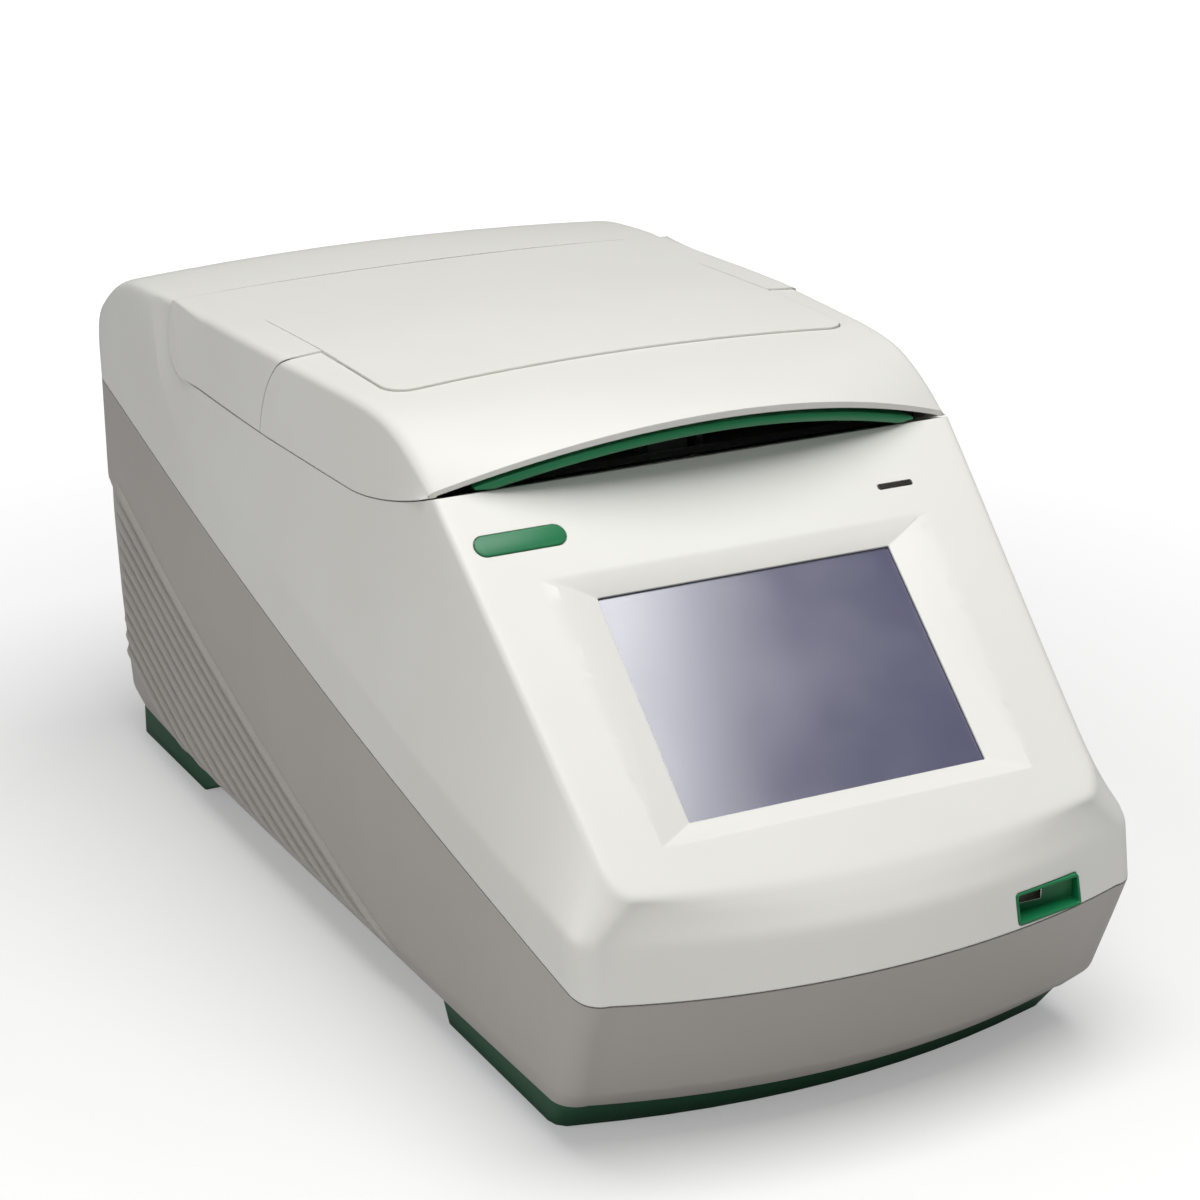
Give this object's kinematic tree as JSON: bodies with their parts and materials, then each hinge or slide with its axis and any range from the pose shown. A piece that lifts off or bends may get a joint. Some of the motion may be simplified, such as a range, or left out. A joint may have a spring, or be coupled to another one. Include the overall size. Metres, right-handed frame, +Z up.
{
  "type": "thermal cycler",
  "caption": "Bench-top 96-well thermal cycler with a hinged heated lid, green release bar, sloping touch screen, front socket and rear power inlet.",
  "frame": {"origin": "on the bench plane, below the centre of the object's bounding box", "axes": "+Z up; -Y towards the front, where the screen and the lid's lip are; +X to the right seen from the front; the length runs along Y"},
  "size_m": [0.229, 0.467, 0.2249],
  "materials": {
    "shell_white": "satin moulded",
    "shell_grey": "fine texture",
    "green_plastic": "satin moulded",
    "green_rubber": "matte",
    "black_plastic": "matte",
    "screen_glass": "polished",
    "zinc_steel": "plain zinc",
    "bright_steel": "polished",
    "aluminium": "satin machined",
    "board": "lacquered",
    "ceramic": "matte",
    "clear_plastic": "clear"
  },
  "bodies": {
    "base": {"base_screw_1": "zinc_steel", "base_screw_2": "zinc_steel", "base_screw_3": "zinc_steel", "base_screw_4": "zinc_steel", "block_collar": "black_plastic", "chassis_plate": "zinc_steel", "display_module": "zinc_steel", "fan_frame": "black_plastic", "front_foot": "green_rubber", "heat_pump_left": "ceramic", "heat_pump_right": "ceramic", "heat_sink": "aluminium", "hinge_bracket_left": "zinc_steel", "hinge_bracket_right": "zinc_steel", "hinge_pin_left": "bright_steel", "hinge_pin_right": "bright_steel", "inlet_blade_1": "bright_steel", "inlet_blade_2": "bright_steel", "inlet_blade_3": "bright_steel", "latch_catch": "zinc_steel", "lower_shell": "shell_grey", "main_board": "board", "name_badge": "green_plastic", "power_inlet": "black_plastic", "power_supply": "zinc_steel", "rear_foot_left": "green_rubber", "rear_foot_right": "green_rubber", "rear_panel": "zinc_steel", "rear_screw_1": "zinc_steel", "rear_screw_2": "zinc_steel", "rear_screw_3": "zinc_steel", "rear_screw_4": "zinc_steel", "sample_block": "aluminium", "status_light": "clear_plastic", "switch_frame": "black_plastic", "touch_glass": "screen_glass", "upper_shell": "shell_white", "usb_a_port": "bright_steel", "usb_b_socket": "bright_steel", "usb_liner": "green_plastic"},
    "lid": {"lid_cover": "shell_white", "lid_frame": "shell_white", "lid_tray": "black_plastic", "plate_carrier": "zinc_steel", "latch_ear_left": "zinc_steel", "latch_ear_right": "zinc_steel", "latch_pin": "bright_steel", "plate_spring_1": "zinc_steel", "plate_spring_2": "zinc_steel", "plate_spring_3": "zinc_steel", "plate_spring_4": "zinc_steel"},
    "heated_plate": {"heated_plate": "aluminium"},
    "release_bar": {"release_bar": "green_plastic"},
    "latch_hook": {"latch_hook": "zinc_steel"},
    "fan_rotor": {"fan_rotor": "black_plastic"},
    "power_switch": {"power_switch": "black_plastic"},
    "fuse_drawer": {"fuse_drawer": "black_plastic"}
  },
  "joints": [
    {"name": "lid_hinge", "type": "hinge", "parent": "base", "child": "lid", "pos_m": [0, 0.117, 0.204], "axis": [-1, 0, 0], "range_deg": [0, 60]},
    {"name": "plate_float", "type": "slide", "parent": "lid", "child": "heated_plate", "axis": [0, 0, 1], "range_m": [0, 0.003], "stiffness_N_per_m": 1500, "springref_m": -0.004, "deforming": ["plate_spring_1", "plate_spring_2", "plate_spring_3", "plate_spring_4"]},
    {"name": "release_press", "type": "slide", "parent": "lid", "child": "release_bar", "axis": [0, 1, 0], "range_m": [0, 0.005], "stiffness_N_per_m": 600, "springref_m": -0.005},
    {"name": "latch_turn", "type": "hinge", "parent": "lid", "child": "latch_hook", "pos_m": [0, -0.07, 0.207], "axis": [-1, 0, 0], "range_deg": [-12, 0]},
    {"name": "fan_spin", "type": "hinge", "parent": "base", "child": "fan_rotor", "pos_m": [0, 0.071, 0.1238], "axis": [0, 1, 0], "continuous": true},
    {"name": "switch_rock", "type": "hinge", "parent": "base", "child": "power_switch", "pos_m": [-0.066, 0.2104, 0.084], "axis": [0, 0, 1], "range_deg": [-14, 0]},
    {"name": "fuse_pull", "type": "slide", "parent": "base", "child": "fuse_drawer", "axis": [0, 1, 0], "range_m": [0, 0.014]}
  ],
  "couplings": [
    {"joint": "latch_turn", "follows": "release_press", "rad_per_m": -41}
  ]
}
